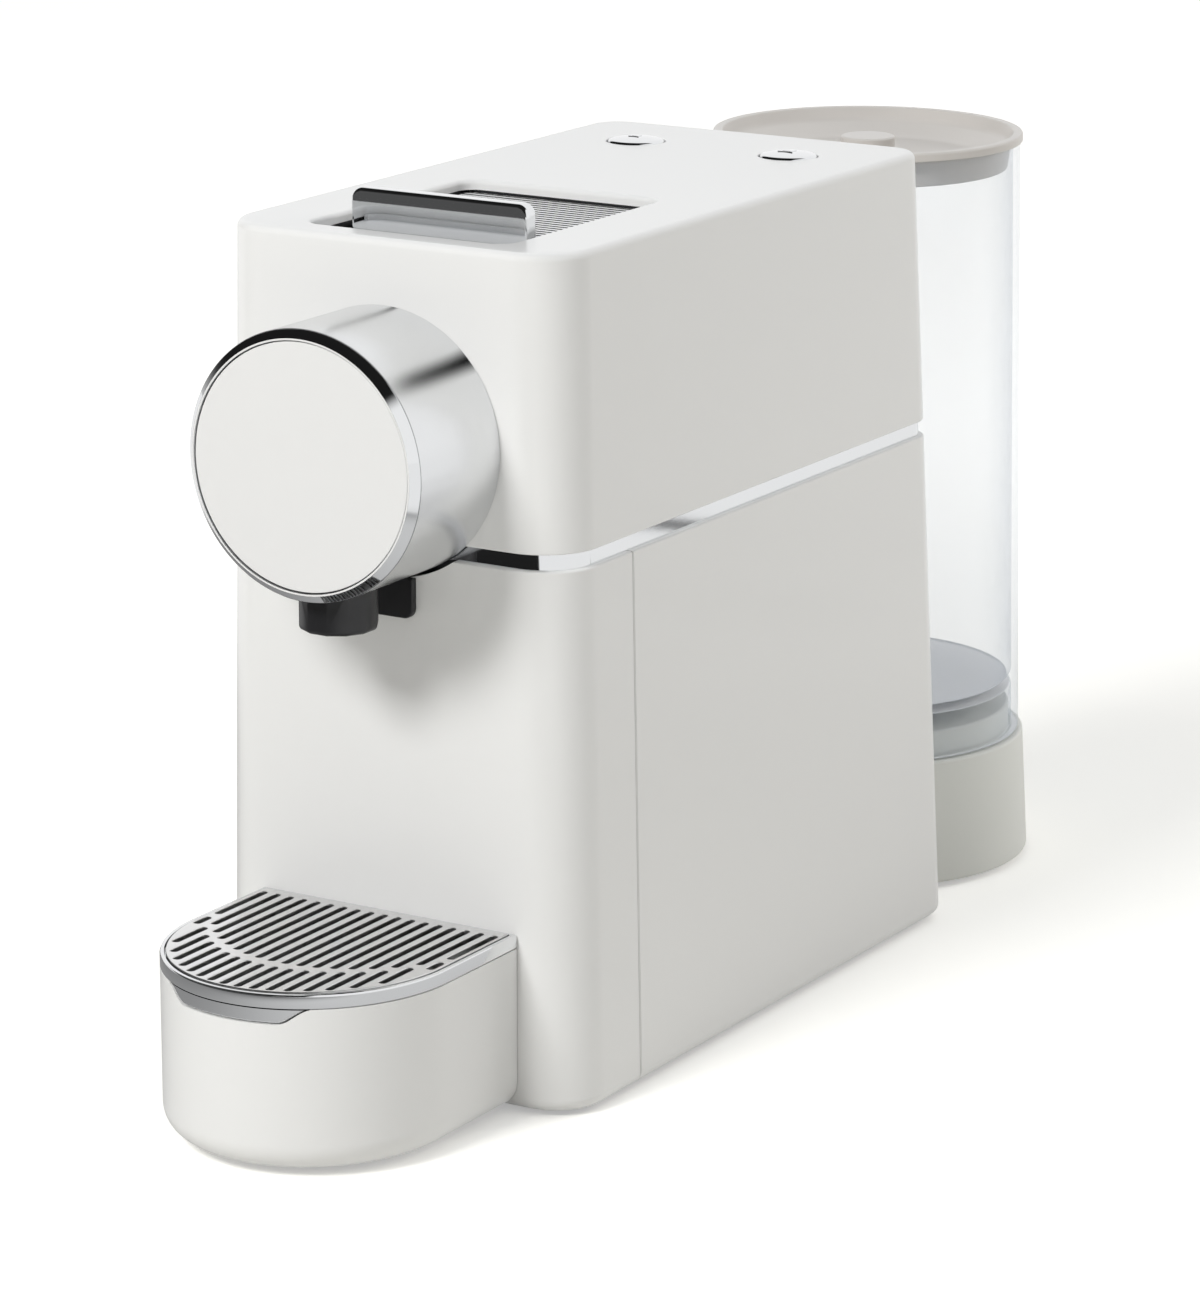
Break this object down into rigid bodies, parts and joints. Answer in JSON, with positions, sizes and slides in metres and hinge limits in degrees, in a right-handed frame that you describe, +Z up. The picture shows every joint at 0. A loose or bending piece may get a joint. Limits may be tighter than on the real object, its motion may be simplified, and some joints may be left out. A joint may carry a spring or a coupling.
{
  "type": "pod coffee machine",
  "caption": "Slim pod coffee machine with a sliding capsule hatch, round chrome brewing head, pull-out drip tray with bin and a clear round lift-off water tank behind.",
  "frame": {"origin": "middle of the footprint, on the worktop", "axes": "+Z up; the brewing head and tray face -Y, the tank is at +Y; +X is the right-hand side seen from the front"},
  "size_m": [0.1044, 0.3526, 0.2146],
  "materials": {
    "white_shell": "satin-gloss moulded ABS",
    "warm_grey": "satin moulded plastic",
    "chrome": "plated, polished",
    "disc_white": "smooth pale disc",
    "black_plastic": "fine satin black",
    "frame_grey": "glass-filled frame plastic",
    "rubber": "matt elastomer",
    "steel": "brushed",
    "slats": "satin metal slats",
    "aluminium": "cast, unpainted",
    "solenoid": "wound coil and moulded pump housing",
    "pcb": "solder-masked board",
    "ivory": "natural nylon",
    "hose": "translucent silicone",
    "valve": "acetal",
    "clear_tank": "clear moulded plastic"
  },
  "bodies": {
    "machine": {"upper_shell": "white_shell", "front_panel": "white_shell", "lower_shell": "white_shell", "trim_band": "chrome", "head_shell": "chrome", "head_bezel": "chrome", "head_disc": "disc_white", "spout": "black_plastic", "outlet_bracket": "black_plastic", "hatch_rails": "black_plastic", "button_switches": "black_plastic", "mains_gland": "black_plastic", "base_plate": "frame_grey", "deck": "frame_grey", "bulkhead": "frame_grey", "drawer_bay": "frame_grey", "capsule_drop": "frame_grey", "brew_frame": "frame_grey", "capsule_guide": "frame_grey", "outlet_block": "frame_grey", "pump_bracket": "frame_grey", "tank_socket": "frame_grey", "rubber_feet": "rubber", "outlet_seal": "rubber", "pump_rings": "rubber", "socket_seal": "rubber", "outlet_plate": "steel", "piston_spring": "steel", "left_button_spring": "steel", "right_button_spring": "steel", "case_screws": "steel", "heater_block": "aluminium", "pump": "solenoid", "control_board": "pcb", "thermostat": "ivory", "flow_meter": "ivory", "suction_hose": "hose", "pump_hose": "hose", "pressure_hose": "hose", "hot_water_hose": "hose", "tank_base": "warm_grey"},
    "hatch": {"hatch_handle": "chrome", "hatch_carrier": "frame_grey", "hatch_slats": "slats", "slide_arms": "frame_grey", "capsule_cup": "steel"},
    "piston": {"brew_piston": "valve", "piston_seal": "rubber"},
    "left_key": {"left_button": "chrome"},
    "right_key": {"right_button": "chrome"},
    "tray": {"tray_body": "white_shell", "capsule_bin": "frame_grey"},
    "cup_stand": {"drip_cup": "chrome"},
    "cup_grille": {"grille": "steel"},
    "tank": {"tank_tube": "clear_tank", "valve_seat": "frame_grey", "valve_spring": "steel"},
    "tank_valve": {"valve_plunger": "valve"},
    "lid": {"tank_lid": "warm_grey", "lid_knob": "warm_grey"}
  },
  "joints": [
    {"name": "hatch_slide", "type": "slide", "parent": "machine", "child": "hatch", "axis": [0, 1, 0], "range_m": [0, 0.05], "deforming": ["hot_water_hose"]},
    {"name": "piston_stroke", "type": "slide", "parent": "hatch", "child": "piston", "axis": [0, -1, 0], "range_m": [0, 0.0025], "stiffness_N_per_m": 900, "springref_m": -0.002, "deforming": ["piston_spring"]},
    {"name": "left_press", "type": "slide", "parent": "machine", "child": "left_key", "axis": [0, 0, -1], "range_m": [0, 0.0015], "stiffness_N_per_m": 700, "springref_m": -0.001, "deforming": ["left_button_spring"]},
    {"name": "right_press", "type": "slide", "parent": "machine", "child": "right_key", "axis": [0, 0, -1], "range_m": [0, 0.0015], "stiffness_N_per_m": 700, "springref_m": -0.001, "deforming": ["right_button_spring"]},
    {"name": "tray_pull", "type": "slide", "parent": "machine", "child": "tray", "axis": [0, -1, 0], "range_m": [0, 0.1]},
    {"name": "stand_lift", "type": "slide", "parent": "tray", "child": "cup_stand", "axis": [0, 0, 1], "range_m": [0, 0.04]},
    {"name": "grille_lift", "type": "slide", "parent": "cup_stand", "child": "cup_grille", "axis": [0, 0, 1], "range_m": [0, 0.025]},
    {"name": "tank_lift", "type": "slide", "parent": "machine", "child": "tank", "axis": [0, 0, 1], "range_m": [0, 0.06]},
    {"name": "valve_close", "type": "slide", "parent": "tank", "child": "tank_valve", "axis": [0, 0, 1], "range_m": [-0.003, 0], "deforming": ["valve_spring"]},
    {"name": "lid_lift", "type": "slide", "parent": "tank", "child": "lid", "axis": [0, 0, 1], "range_m": [0, 0.04]}
  ],
  "couplings": [
    {"joint": "valve_close", "follows": "tank_lift", "ratio": -0.05}
  ]
}
